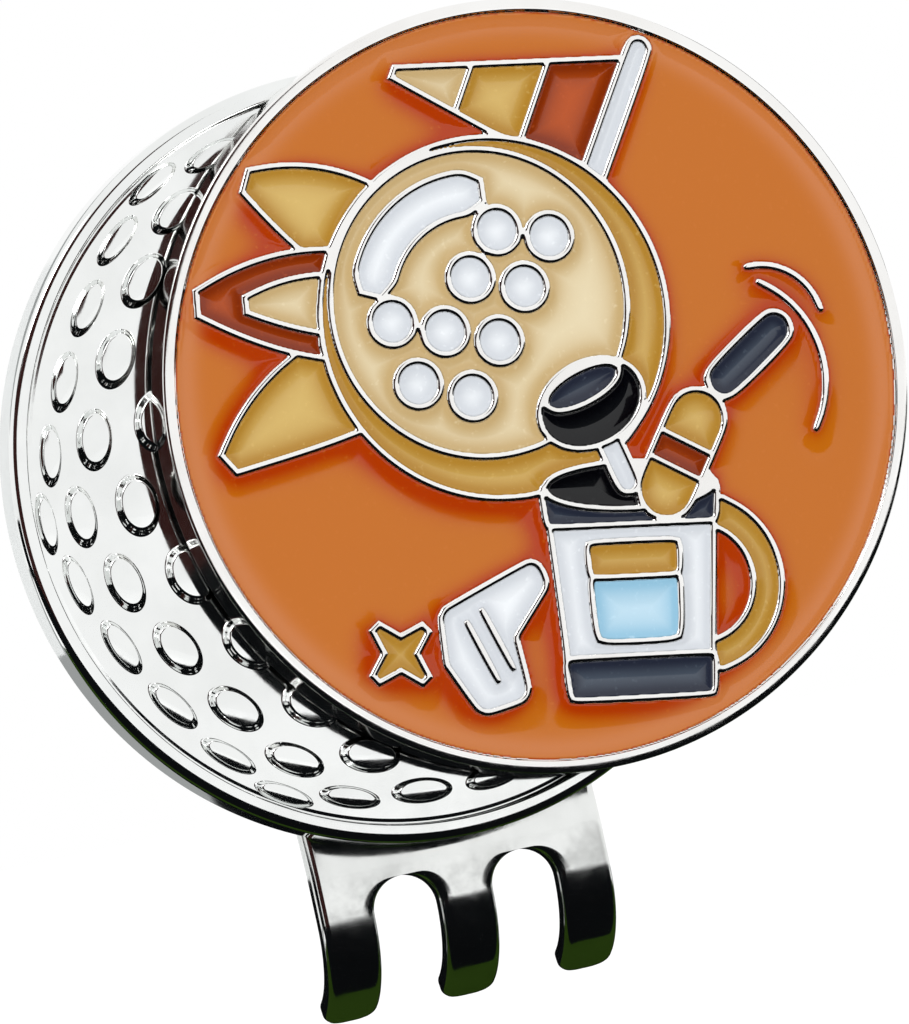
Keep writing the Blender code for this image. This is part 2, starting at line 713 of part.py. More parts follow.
def build_root():
    centre = fold_centre()
    line = [(tab_middle(), FOLD_HEIGHT - TAB_LENGTH)]
    line += arc(centre, FOLD_RADIUS, 180.0, 0.0, FOLD_STEPS)
    root = strip_solid("spring_root", line)
    for x in (-RIVET_SPACING / 2, RIVET_SPACING / 2):
        hole = circle((x, RIVET_Z), RIVET_SHANK_RADIUS + FIT_GAP, RIVET_SIDES)
        cutter = prism("hole", hole, -STRIP_THICKNESS - 2 * FIT_GAP, 1.0)
        cutter.matrix_world = facing_out(0.0, 0.0, 0.0)
        combined(root, "DIFFERENCE", cutter)
    finish(root, Matrix.Identity(4), "spring", 30)


def build_leaf():
    centre = fold_centre()
    touch = LEAF_CLEAR + STRIP_THICKNESS / 2
    start = (centre[0] + FOLD_RADIUS, FOLD_HEIGHT - LEAF_GAP)
    line = [start, (touch, LEAF_TOUCH_Z), (touch, FINGER_BEND_Z)]
    bend = (touch + FINGER_BEND_RADIUS, FINGER_BEND_Z)
    line += arc(bend, FINGER_BEND_RADIUS, 180.0, 180.0 + FINGER_BEND_DEG, FINGER_STEPS)[1:]
    leaf = strip_solid("spring_leaf", line)
    finger = (STRIP_WIDTH - (FINGER_COUNT - 1) * SLOT_WIDTH) / FINGER_COUNT
    for slot in range(FINGER_COUNT - 1):
        x = -STRIP_WIDTH / 2 + finger + SLOT_WIDTH / 2 + slot * (finger + SLOT_WIDTH)
        top = SLOT_TOP_Z - SLOT_WIDTH / 2
        low = FINGER_BEND_Z - FINGER_BEND_RADIUS - 5.0
        outline = arc((x, top), SLOT_WIDTH / 2, 0.0, 180.0, SLOT_ARCH_STEPS)
        outline += [(x - SLOT_WIDTH / 2, low), (x + SLOT_WIDTH / 2, low)]
        cutter = prism("slot", outline, -12.0, 3.0)
        cutter.matrix_world = facing_out(0.0, 0.0, 0.0)
        combined(leaf, "DIFFERENCE", cutter)
    axis = Vector((0.0, centre[0], centre[1])) * MM
    leaf.data.transform(Matrix.Translation(-axis))
    finish(leaf, Matrix.Translation(axis), "spring", 30)


def build_rivets():
    head_low = FIT_GAP + STRIP_THICKNESS + FIT_GAP
    head = RIVET_HEAD_RADIUS
    dome = [(head, 0.0), (head, 0.35), (head * 0.8, 0.8), (head * 0.4, 1.0), (0.0, 1.0)]
    profile = [(0.0, -RIVET_DEPTH), (RIVET_SHANK_RADIUS, -RIVET_DEPTH), (RIVET_SHANK_RADIUS, head_low)]
    profile += [(radius, head_low + RIVET_HEAD_HEIGHT * rise) for radius, rise in dome]
    for name, x in (("rivet_left", -RIVET_SPACING / 2), ("rivet_right", RIVET_SPACING / 2)):
        rivet = lathe(name, profile, RIVET_SIDES)
        frame = Matrix.Translation(Vector((x, 0.0, RIVET_Z)) * MM) @ Matrix.Rotation(-math.pi / 2, 4, "X")
        finish(rivet, frame, "nickel", 35)


clear_scene()
build_plate()
build_root()
build_leaf()
build_rivets()
build_marker()
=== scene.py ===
"""Looks for the golf ball marker and its hat clip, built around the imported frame.

Lengths are millimetres until a mesh is made. Two flat frames are used: (u, v, w) with w out of
the clip's face for the plate, and the same turned and shifted for the marker coin.
"""

import json
import math

import bpy
import numpy as np
from mathutils import Matrix, Vector


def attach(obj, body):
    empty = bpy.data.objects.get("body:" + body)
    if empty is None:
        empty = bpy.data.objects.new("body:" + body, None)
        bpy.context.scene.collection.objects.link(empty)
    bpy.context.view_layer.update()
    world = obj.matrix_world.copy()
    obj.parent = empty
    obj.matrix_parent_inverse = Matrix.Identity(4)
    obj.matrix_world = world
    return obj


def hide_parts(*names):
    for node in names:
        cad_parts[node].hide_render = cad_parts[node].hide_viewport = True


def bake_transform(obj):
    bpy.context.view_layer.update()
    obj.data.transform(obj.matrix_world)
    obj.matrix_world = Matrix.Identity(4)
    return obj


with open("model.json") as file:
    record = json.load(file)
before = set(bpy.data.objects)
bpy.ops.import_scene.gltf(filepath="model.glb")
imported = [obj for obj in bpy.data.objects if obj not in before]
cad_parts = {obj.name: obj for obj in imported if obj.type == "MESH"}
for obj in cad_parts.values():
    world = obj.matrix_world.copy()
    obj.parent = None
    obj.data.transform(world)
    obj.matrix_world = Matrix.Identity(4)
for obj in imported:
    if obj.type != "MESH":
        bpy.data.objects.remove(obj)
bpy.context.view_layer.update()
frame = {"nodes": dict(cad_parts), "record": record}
NODES = frame["nodes"]
MM = 0.001

# Plate
PLATE_RADIUS, PLATE_THICK, GROUND = 12.5, 1.6, 1.32
RIM_IN, PIP_TOP, PIP_RADIUS, PIP_PITCH = 11.85, 1.57, 0.98, 15.2
PIP_ROWS, PIP_DOME, PIP_SUNK = range(2, 6), 0.03, 0.004
SEAT_RADIUS, SEAT_FLOOR, COLLAR_OUT = 4.05, 0.51, 4.5
MAGNET_RADIUS, MAGNET_LOW, MAGNET_HIGH = 4.0, 0.67, 1.57
# Spring strip
STRIP_WIDTH, STRIP_THICK, STRIP_EDGE = 10.0, 0.8, 0.30
TAB_Y, FOLD_RADIUS, FOLD_Z, TAB_LENGTH = 0.42, 1.45, 9.4, 4.6
TOUCH_Y, TOUCH_Z, BEND_Z, BEND_RADIUS, BEND_DEG = 0.65, -12.6, -14.4, 2.9, 76.0
KNEE_ABOVE, KNEE_BELOW, SLOT_WIDTH, SLOT_TOP, TIP_ROUND = 1.2, 0.35, 2.2, -13.3, 0.45
RIVET_X, RIVET_Z, RIVET_HEAD, RIVET_SHANK, RIVET_LOW = 2.5, 7.0, 1.05, 0.6, 0.84
# Marker coin
COIN_RADIUS, COIN_THICK, RECESS_RADIUS, RECESS_FLOOR = 12.5, 1.5, 12.05, 1.1
COIN_CENTRE, COIN_TURN = (4.95, -1.7, 1.15), -12.2
LINE_ROUND, LINE_DROP, MENISCUS, DIP = 0.11, 0.05, 0.32, 0.15
# Painted shadow round the drawings: its blur and its shift to the lower left; then how far inside the rim
# the painted reflection ring lies.
SHADOW_WIDTH, SHADOW_SHIFT, SHEEN_RING = 0.50, 0.30, 0.35
STEP = 0.04
# Sides of the large round pieces
ROUND_SIDES = 320


# Frames and meshes ----------------------------------------------------------------------------
def clip_space(u, v, w):
    """(u, v, w) on the plate becomes world (u, -w, v) in metres."""
    return np.stack([u, -w, v], -1) * MM


def coin_space(u, v, w):
    """(u, v, w) on the coin is turned by COIN_TURN in its plane, then moved to COIN_CENTRE."""
    turn = math.radians(COIN_TURN)
    x = COIN_CENTRE[0] + u * math.cos(turn) - v * math.sin(turn)
    z = COIN_CENTRE[2] + u * math.sin(turn) + v * math.cos(turn)
    return np.stack([x, COIN_CENTRE[1] - w, z], -1) * MM


def coin_flat(points):
    """The reverse of coin_space: world metres to (u, v, w) on the coin."""
    turn = math.radians(COIN_TURN)
    x, z = points[:, 0] / MM - COIN_CENTRE[0], points[:, 2] / MM - COIN_CENTRE[2]
    u = x * math.cos(turn) + z * math.sin(turn)
    v = -x * math.sin(turn) + z * math.cos(turn)
    return np.stack([u, v, COIN_CENTRE[1] - points[:, 1] / MM], -1)


def make_piece(name, points, faces, material, body, replaces=(), slot=None, fields=None):
    """A smooth mesh object from world points and an array of faces; fields are point attributes."""
    mesh = bpy.data.meshes.new(name)
    mesh.from_pydata(points.reshape(-1, 3).tolist(), [], faces)
    for label, values in (fields or {}).items():
        made = mesh.attributes.new(label, "FLOAT", "POINT")
        made.data.foreach_set("value", values.astype(np.float32).ravel())
    mesh.shade_smooth()
    mesh.materials.append(material)
    piece = bpy.data.objects.new(name, mesh)
    bpy.context.scene.collection.objects.link(piece)
    if body:
        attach(piece, body)
    if replaces:
        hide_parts(*replaces)
    return piece


def grid_faces(rows, columns, first=0, flip=False):
    """Quads over closed rings of points stored row by row; the last column joins the first."""
    row, column = np.meshgrid(np.arange(rows - 1), np.arange(columns), indexing="ij")
    after = (column + 1) % columns
    low, high = row * columns, (row + 1) * columns
    quads = np.stack([low + column, low + after, high + after, high + column], -1)
    quads = quads.reshape(-1, 4) + first
    return quads[:, ::-1] if flip else quads


def supported(profile, reach=0.03):
    """Adds a point this far inside each end of every long straight run, so flats shade flat."""
    points = [profile[0]]
    for start, end in zip(profile, profile[1:]):
        length = math.dist(start, end)
        if length > 5 * reach:
            run = (end[0] - start[0], end[1] - start[1])
            for share in (reach / length, 1 - reach / length):
                points.append((start[0] + run[0] * share, start[1] + run[1] * share))
        points.append(end)
    return points


def arc(centre, radius, start, end, steps):
    """Points on a circle from one angle to another, in degrees."""
    angles = np.radians(np.linspace(start, end, steps + 1))
    return [(centre[0] + radius * math.cos(a), centre[1] + radius * math.sin(a)) for a in angles]


def turned(name, profile, sides, space, material, body, **more):
    """A solid of revolution: point (i, j) is (r_i cos t_j, r_i sin t_j, w_i). The profile runs
    anticlockwise in (r, w), from axis to axis; each end is one point closed by a fan."""
    ring = np.array(supported(profile)[1:-1])
    angle = np.linspace(0, 2 * np.pi, sides, endpoint=False)
    u, v = ring[:, :1] * np.cos(angle), ring[:, :1] * np.sin(angle)
    body_points = space(u, v, np.repeat(ring[:, 1:], sides, 1)).reshape(-1, 3)
    ends = space(np.zeros(2), np.zeros(2), np.array([profile[0][1], profile[-1][1]]))
    faces = grid_faces(len(ring), sides).tolist()
    near, far = len(body_points), len(body_points) + 1
    last = (len(ring) - 1) * sides
    index = np.arange(sides)
    after = (index + 1) % sides
    faces += np.stack([after, index, np.full(sides, near)], -1).tolist()
    faces += np.stack([last + index, last + after, np.full(sides, far)], -1).tolist()
    return make_piece(name, np.concatenate([body_points, ends]), faces, material, body, **more)


# Shaders --------------------------------------------------------------------------------------
class Socket:
    """A shader value; sums and products of it add Math nodes."""

    def __init__(self, paint, socket):
        self.paint, self.socket = paint, socket

    def _math(self, operation, first, second):
        return self.paint.node("ShaderNodeMath", {"operation": operation}, {0: first, 1: second})

    def __add__(self, other):
        return self._math("ADD", self, other)

    __radd__ = __add__

    def __sub__(self, other):
        return self._math("SUBTRACT", self, other)

    def __mul__(self, other):
        return self._math("MULTIPLY", self, other)

    __rmul__ = __mul__


class Paint:
    """One material and the nodes that feed its Principled shader."""

    def __init__(self, name, **constants):
        self.material = bpy.data.materials.new(name)
        self.material.use_nodes = True
        self.tree = self.material.node_tree
        self.shader = self.tree.nodes["Principled BSDF"]
        for label, value in constants.items():
            self.shader.inputs[label.replace("_", " ")].default_value = value

    def node(self, kind, settings=None, inputs=None, output=0):
        """A new shader node; an input is fed by a Socket or set to a value."""
        made = self.tree.nodes.new(kind)
        for label, value in (settings or {}).items():
            setattr(made, label, value)
        for label, value in (inputs or {}).items():
            if isinstance(value, Socket):
                self.tree.links.new(value.socket, made.inputs[label])
            else:
                made.inputs[label].default_value = value
        return Socket(self, made.outputs[output])

    def feed(self, label, value):
        """Links a Socket to the Principled shader."""
        self.tree.links.new(value.socket, self.shader.inputs[label])

    def place(self):
        """Where the point lies on the piece, in metres."""
        return self.node("ShaderNodeTexCoord", output="Object")

    def noise(self, scale, detail=3.0, rough=0.5, distortion=0.0):
        """Solid noise with this many waves to the metre."""
        inputs = {"Scale": scale, "Detail": detail, "Roughness": rough, "Distortion": distortion}
        inputs["Vector"] = self.place()
        return self.node("ShaderNodeTexNoise", {"noise_dimensions": "3D"}, inputs)

    def field(self, label):
        """A value stored on the mesh's points, 0 where the mesh has none."""
        return self.node("ShaderNodeAttribute", {"attribute_name": label}, output="Fac")

    def spread(self, value, low, high, to_low=0.0, to_high=1.0):
        """A smooth step from low to high, brought to another range."""
        return self.node(
            "ShaderNodeMapRange",
            {"interpolation_type": "SMOOTHSTEP", "clamp": True},
            {"Value": value, "From Min": low, "From Max": high, "To Min": to_low, "To Max": to_high},
        )

    def mix(self, factor, first, second):
        """One colour fading into another."""
        made = self.node("ShaderNodeMix", {"data_type": "RGBA"}, {"Factor": factor}, output=2)
        node = made.socket.node
        for slot, value in ((6, first), (7, second)):
            if isinstance(value, Socket):
                self.tree.links.new(value.socket, node.inputs[slot])
            else:
                node.inputs[slot].default_value = (*value, 1.0)
        return made

    def bump(self, height, distance, strength=1.0, onto=None):
        """A normal raised by a height, in metres, on top of another bump if one is given."""
        inputs = {"Height": height, "Distance": distance, "Strength": strength}
        if onto:
            inputs["Normal"] = onto
        return self.node("ShaderNodeBump", {}, inputs)


def plating(name, bright, shade, low, high, wave=0.004, grain=0.0006):
    """Bright nickel plate: tint and gloss drift slowly, over long soft waves and a fine grain."""
    paint = Paint(name, Metallic=1.0)
    cloud = paint.noise(260.0, 4.0, 0.6)
    paint.feed("Base Color", paint.mix(paint.spread(cloud, 0.35, 0.7), bright, shade))
    speck = paint.noise(2600.0, 3.0, 0.65)
    smear = paint.noise(520.0, 3.0, 0.55, 0.6)
    gloss = paint.spread(smear * 0.7 + speck * 0.3, 0.35, 0.68, low, high)
    paint.feed("Roughness", gloss)
    soft = paint.bump(paint.noise(330.0, 1.0, 0.4), wave * MM)
    paint.feed("Normal", paint.bump(speck, grain * MM, 1.0, soft))
    return paint.material


def enamel(name, deep, middle):
    """Fired colour with painted light: deep, a painted-shade colour, by the metal and in the drawings'
    painted shadow; a paler tint, a painted reflection, near the rim; glossy all over.
    """
    paint = Paint(name, IOR=1.43)
    # The wall field is the share of painted shade: high by the metal and in the painted shadow of the
    # drawings.
    wall = paint.field("wall")
    cloud = paint.noise(420.0, 4.0, 0.55)
    drift = paint.noise(95.0, 2.0, 0.5)
    shade_share = paint.spread(wall + (cloud - 0.5) * 0.12 + (drift - 0.5) * 0.25, 0.04, 0.85)
    # A paler tint, laid on as a painted reflection just inside the rim.
    thin = tuple(channel + 0.05 for channel in middle)
    colour = paint.mix(paint.field("thin") * 0.8, paint.mix(shade_share, middle, deep), thin)
    grain = paint.noise(5200.0, 2.0, 0.5)
    pale = tuple(min(1.0, channel * 1.08 + 0.01) for channel in middle)
    paint.feed("Base Color", paint.mix(paint.spread(grain, 0.60, 0.80, 0.0, 0.35), colour, pale))
    paint.feed("Roughness", paint.spread(cloud, 0.3, 0.75, 0.06, 0.16))
    lens = paint.bump(paint.noise(240.0, 1.0, 0.4), 0.012 * MM)
    paint.feed("Normal", paint.bump(grain, 0.0006 * MM, 1.0, lens))
    return paint.material


def satin_disc(name):
    """The magnet's satin plate: rubbed grain, dull spots and a few bright rubbed places."""
    paint = Paint(name, Metallic=1.0)
    rub = paint.noise(900.0, 6.0, 0.7, 1.5)
    paint.feed("Base Color", paint.mix(rub, (0.56, 0.56, 0.57), (0.74, 0.73, 0.72)))
    paint.feed("Roughness", paint.spread(rub, 0.3, 0.7, 0.20, 0.42))
    paint.feed("Normal", paint.bump(paint.noise(3200.0, 4.0, 0.6), 0.002 * MM))
    return paint.material


def set_glue(name):
    """Clear amber glue with small bubbles."""
    paint = Paint(name, IOR=1.5, Coat_Weight=0.3)
    bubble = paint.node("ShaderNodeTexVoronoi", {}, {"Vector": paint.place(), "Scale": 2400.0})
    spots = paint.spread(bubble, 0.10, 0.22)
    paint.feed("Base Color", paint.mix(spots, (0.90, 0.86, 0.74), (0.66, 0.58, 0.38)))
    paint.feed("Roughness", paint.spread(paint.noise(700.0), 0.3, 0.7, 0.12, 0.35))
    paint.feed("Normal", paint.bump(bubble, 0.01 * MM))
    return paint.material


PLATE_NICKEL = plating("clip_plate_nickel", (0.90, 0.915, 0.905), (0.83, 0.845, 0.835), 0.04, 0.10, 0.006)
SPRING_NICKEL = plating("spring_nickel", (0.84, 0.855, 0.84), (0.74, 0.755, 0.74), 0.07, 0.16, 0.012)
COIN_NICKEL = plating("marker_nickel", (0.93, 0.925, 0.91), (0.87, 0.86, 0.84), 0.06, 0.14)
RIVET_STEEL = plating("rivet_steel", (0.80, 0.79, 0.77), (0.68, 0.67, 0.65), 0.14, 0.30, 0.010)
# Each enamel: its darker painted-shade colour, then its own colour.
ENAMELS = {
    "orange": enamel("orange_enamel", (0.38, 0.034, 0.0), (0.475, 0.126, 0.004)),
    "ochre": enamel("ochre_enamel", (0.40, 0.205, 0.025), (0.60, 0.415, 0.128)),
    "cream": enamel("cream_enamel", (0.52, 0.37, 0.17), (0.71, 0.61, 0.40)),
    "rust": enamel("rust_enamel", (0.20, 0.022, 0.001), (0.46, 0.075, 0.006)),
    "white": enamel("white_enamel", (0.60, 0.63, 0.67), (0.85, 0.88, 0.905)),
    "slate": enamel("slate_enamel", (0.016, 0.020, 0.036), (0.082, 0.105, 0.138)),
    "black": enamel("black_enamel", (0.001, 0.001, 0.002), (0.006, 0.007, 0.008)),
    "blue": enamel("blue_enamel", (0.27, 0.50, 0.66), (0.50, 0.68, 0.79)),
}


# Clip plate -----------------------------------------------------------------------------------
def build_plate():
    """The plate is one turned solid: flat back, rounded rim, lowered ground, collar and seat."""
    edge = 0.2
    profile = [(0.0, 0.0)]
    profile += arc((PLATE_RADIUS - edge, edge), edge, -90, 0, 6)
    profile += arc((PLATE_RADIUS - 0.27, PLATE_THICK - 0.27), 0.27, 0, 90, 8)
    profile += arc((RIM_IN + 0.13, PLATE_THICK - 0.08), 0.08, 90, 172, 6)
    profile += arc((RIM_IN + 0.00, GROUND + 0.035), 0.05, 352, 270, 4)
    profile += [(RIM_IN - 0.05, GROUND - 0.015), (RIM_IN - 0.12, GROUND)]
    profile += [(COLLAR_OUT + 0.20, GROUND)]
    profile += arc((COLLAR_OUT + 0.16, GROUND + 0.06), 0.06, 270, 200, 3)
    profile += arc((COLLAR_OUT - 0.05, PIP_TOP - 0.08), 0.08, 20, 90, 4)
    profile += arc((SEAT_RADIUS + 0.06, PIP_TOP - 0.06), 0.06, 90, 180, 4)
    profile += [(SEAT_RADIUS, SEAT_FLOOR), (0.0, SEAT_FLOOR)]
    turned(
        "plate_body", profile, ROUND_SIDES, clip_space, PLATE_NICKEL, "clip",
        replaces=("clip_plate",), slot="clip_plating",
    )


def pip_places():
    """Rings of a triangular grid wrapped on a ball: the angle from the pole is the distance on the
    grid times PIP_PITCH, and the way round stays the same. Returns both angles in radians."""
    polar, way = [], []
    corners = [np.array(spot) for spot in arc((0.0, 0.0), 1.0, 0, 360, 6)]
    for row in PIP_ROWS:
        for corner, following in zip(corners, corners[1:]):
            for step in range(row):
                spot = corner * row + (following - corner) * step
                polar.append(PIP_PITCH * math.hypot(*spot))
                way.append(math.atan2(spot[1], spot[0]))
    return np.radians(np.array(polar)), np.array(way)


def build_pips():
    """Each pip is a cap whose height over the ground is H (1 - S((p - 0.77) / 0.28)) + a slight
    dome, S the smoothstep and p the share of its radius; it narrows towards the plate's rim by the
    cosine of its angle from the pole, as on a ball seen from the front."""
    polar, way = pip_places()
    rings, sides = 18, 60
    share = np.concatenate([[0.0, 0.40, 0.66], np.linspace(0.75, 1.07, rings - 3)])
    step = np.clip((share - 0.77) / 0.28, 0, 1)
    height = (PIP_TOP - GROUND - PIP_DOME) * (1 - step * step * (3 - 2 * step))
    height += PIP_DOME * np.clip(1 - share**2, 0, 1) - PIP_SUNK * (step >= 1)
    angle = np.linspace(0, 2 * np.pi, sides, endpoint=False)
    squeeze = np.maximum(np.cos(polar), 0.3)[:, None, None]
    along = share[None, :, None] * PIP_RADIUS * np.cos(angle) * squeeze
    across = share[None, :, None] * PIP_RADIUS * np.sin(angle)
    turn_cos, turn_sin = np.cos(way)[:, None, None], np.sin(way)[:, None, None]
    distance = RIM_IN * np.sin(polar)[:, None, None]
    u = (distance + along) * turn_cos - across * turn_sin
    v = (distance + along) * turn_sin + across * turn_cos
    w = np.broadcast_to(GROUND + height[None, :, None], u.shape)
    points = clip_space(u, v, w)[:, 1:]
    centres = clip_space(u[:, 0, :1], v[:, 0, :1], w[:, 0, :1])
    count, stride = len(polar), (rings - 1) * sides + 1
    points = np.concatenate([centres, points.reshape(count, -1, 3)], 1)
    one = grid_faces(rings - 1, sides, first=1, flip=True)
    index = np.arange(sides)
    fan = np.stack([1 + index, 1 + (index + 1) % sides, np.zeros(sides, int)], -1)
    starts = (np.arange(count) * stride)[:, None, None]
    faces = (one[None] + starts).reshape(-1, 4).tolist() + (fan[None] + starts).reshape(-1, 3).tolist()
    make_piece("plate_pips", points, faces, PLATE_NICKEL, "clip", slot="clip_plating")


def build_magnet():
    """A turned disc with rounded edges, sitting in its seat."""
    profile = [(0.0, MAGNET_LOW)] + arc((MAGNET_RADIUS - 0.12, MAGNET_LOW + 0.12), 0.12, -90, 0, 5)
    profile += arc((MAGNET_RADIUS - 0.12, MAGNET_HIGH - 0.12), 0.12, 0, 90, 6) + [(0.0, MAGNET_HIGH)]
    turned(
        "magnet_disc", profile, 160, clip_space, satin_disc("magnet_satin"), "clip",
        replaces=("disc_magnet",), slot="magnet_plating",
    )


# Spring strip ---------------------------------------------------------------------------------
def strip_line():
    """The strip's middle line in (y, z) with its running length: tab, fold, slanting leaf, a
    rounded knee, then the fingers' backward curve. The knee is the curve
    (1 - s)^2 a + 2 s (1 - s) knee + s^2 b between a point a above it and a point b below."""
    fold, knee = np.array([TAB_Y + FOLD_RADIUS, FOLD_Z]), np.array([TOUCH_Y, TOUCH_Z])
    top = fold + (FOLD_RADIUS, 0.0)
    line = [(TAB_Y, z) for z in np.linspace(FOLD_Z - TAB_LENGTH, FOLD_Z, 8)[:-1]]
    line += arc(fold, FOLD_RADIUS, 180, 0, 28)
    before = 1 - KNEE_ABOVE / math.dist(top, knee)
    line += [tuple(top + (knee - top) * s) for s in np.linspace(0, before, 40)[1:]]
    above, below = np.array(line[-1]), knee - (0.0, KNEE_BELOW)
    for s in np.linspace(0, 1, 9)[1:]:
        line.append(tuple((1 - s) ** 2 * above + 2 * s * (1 - s) * knee + s * s * below))
    line += arc((TOUCH_Y + BEND_RADIUS, BEND_Z), BEND_RADIUS, 180, 180 + BEND_DEG, 26)
    line = np.array(line)
    length = np.concatenate([[0], np.cumsum(np.linalg.norm(np.diff(line, axis=0), axis=1))])
    return line, length


def strip_section(half_low, half_high, round_low, round_high, corner=6):
    """One closed cross-section in (x, t) per row, a bar from half_low to half_high and STRIP_THICK
    deep; each long edge is a quarter ellipse, STRIP_EDGE deep and as wide as its side's rounding."""
    turn = np.linspace(0, np.pi / 2, corner + 1)
    inward = 1 - np.sin(turn)
    deep = STRIP_THICK / 2 - STRIP_EDGE * (1 - np.cos(turn))
    right = half_high[:, None] - round_high[:, None] * inward
    left = half_low[:, None] + round_low[:, None] * inward
    across = np.linspace(0, 1, 8)[1:-1]
    flat = right[:, :1] + (left[:, :1] - right[:, :1]) * across
    level = np.full(len(across), STRIP_THICK / 2)
    x = np.concatenate([right, right[:, ::-1], flat, left, left[:, ::-1], flat[:, ::-1]], 1)
    t = np.concatenate([-deep, deep[::-1], level, deep, -deep[::-1], -level])
    return x, np.broadcast_to(t, x.shape)


def swept_strip(rows, x, t, line, length):
    """Carries cross-sections along the strip's middle line: point = line(s) + t times its normal."""

    def line_at(lengths):
        return [np.interp(lengths, length, line[:, axis]) for axis in (0, 1)]

    reach = 0.02
    (y, z), (y_after, z_after), (y_before, z_before) = map(line_at, (rows, rows + reach, rows - reach))
    dy, dz = y_after - y_before, z_after - z_before
    size = np.hypot(dy, dz)
    ny, nz = -dz / size, dy / size
    return np.stack([x, y[:, None] + t * ny[:, None], z[:, None] + t * nz[:, None]], -1) * MM


def strip_bar(rows, low, high, round_low, round_high, path, cap_start=False, cap_end=False):
    """One bar of the strip between two edges given per row: its points, and its faces with a cap
    on the asked ends."""
    made = swept_strip(rows, *strip_section(low, high, round_low, round_high), *path)
    count, columns = made.shape[:2]
    faces = grid_faces(count, columns).tolist()
    if cap_start:
        faces.append(np.arange(columns)[::-1].tolist())
    if cap_end:
        faces.append(((count - 1) * columns + np.arange(columns)).tolist())
    return made.reshape(-1, 3), faces


def welded(bars, within=2e-4 * MM):
    """The bars as one mesh: points this close become one, and faces that collapse are dropped."""
    starts = np.cumsum([0] + [len(points) for points, _ in bars])
    points = np.concatenate([points for points, _ in bars])
    grid = np.round(points / within).astype(np.int64)
    _, kept, index = np.unique(grid, axis=0, return_index=True, return_inverse=True)
    index = index.reshape(-1)
    joined = []
    for start, (_, faces) in zip(starts, bars):
        for face in faces:
            corners = list(dict.fromkeys(index[start + np.array(face)].tolist()))
            if len(corners) > 2:
                joined.append(corners)
    return points[kept], joined


def build_spring():
    """The strip is a full-width bar down to the slot tops and three bars below; beside a slot a
    bar's edge follows x = centre +- r sin(a) at s = top + r (1 - cos a). Ends are rounded by
    shrinking the last sections along a quarter circle."""
    line, length = path = strip_line()
    half, r = STRIP_WIDTH / 2, SLOT_WIDTH / 2
    below_fold = line[:, 1] < 0
    s_top = float(np.interp(-SLOT_TOP, -line[below_fold, 1], length[below_fold]))
    finger = (STRIP_WIDTH - 2 * SLOT_WIDTH) / 3
    slots = [-half + finger + r, half - finger - r]

    start_rows, start_share = [0.0, 0.06, 0.14, 0.24], [0.85, 0.95, 0.985, 1.0]
    rows = np.concatenate([start_rows, length[(length > 0.3) & (length < s_top - 0.02)], [s_top]])
    wide = half * np.concatenate([start_share, np.ones(len(rows) - len(start_share))])
    edge = np.full(len(rows), STRIP_EDGE)
    bars = [strip_bar(rows, -wide, wide, edge, edge, path, cap_start=True)]

    end = length[-1]
    arch, tip = np.linspace(0, np.pi / 2, 15), np.linspace(0.0, np.pi / 2, 9)[1:]
    straight = np.linspace(s_top + r, end - TIP_ROUND, 22)[1:]
    rows = np.concatenate([s_top + r * (1 - np.cos(arch)), straight, end - TIP_ROUND * (1 - np.sin(tip))])
    shape = np.concatenate([np.sin(arch), np.ones(len(straight) + len(tip))])
    plain = np.ones(len(rows))
    shrink = np.concatenate([np.zeros(len(arch) + len(straight)), TIP_ROUND * (1 - np.cos(tip))])
    for left, right in ((None, slots[0]), (slots[0], slots[1]), (slots[1], None)):
        low = -half * plain if left is None else left + r * shape
        high = half * plain if right is None else right - r * shape
        round_low = STRIP_EDGE * (plain if left is None else shape)
        round_high = STRIP_EDGE * (plain if right is None else shape)
        bars.append(strip_bar(rows, low + shrink, high - shrink, round_low, round_high, path, cap_end=True))
    strip = make_piece("spring_strip", *welded(bars), SPRING_NICKEL, None)
    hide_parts("spring_root", "spring_leaf")
    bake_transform(strip)


def behind_rivet(x):
    """The frame of a rivet at x: (u, v, w) with w pointing out of the plate's back."""
    return lambda u, v, w: np.stack([x - u, w, RIVET_Z + v], -1) * MM


def build_rivets():
    """Each rivet is turned: shank, flat under the head, then a soft rim and a low dome, whose
    points are (r cos(a)^0.8, base + h sin(a))."""
    rim, base = 0.06, RIVET_LOW + 0.12
    profile = [(0.0, -0.8), (RIVET_SHANK, -0.8), (RIVET_SHANK, RIVET_LOW - 0.01)]
    profile += arc((RIVET_HEAD - rim, RIVET_LOW + rim), rim, -90, 0, 3)
    for angle in np.linspace(0, np.pi / 2, 12):
        profile.append((RIVET_HEAD * math.cos(angle) ** 0.8, base + 0.33 * math.sin(angle)))
    for node, x in (("rivet_left", -RIVET_X), ("rivet_right", RIVET_X)):
        turned(
            node + "_head", profile, 48, behind_rivet(x), RIVET_STEEL, "clip",
            replaces=(node,), slot="rivet_metal",
        )


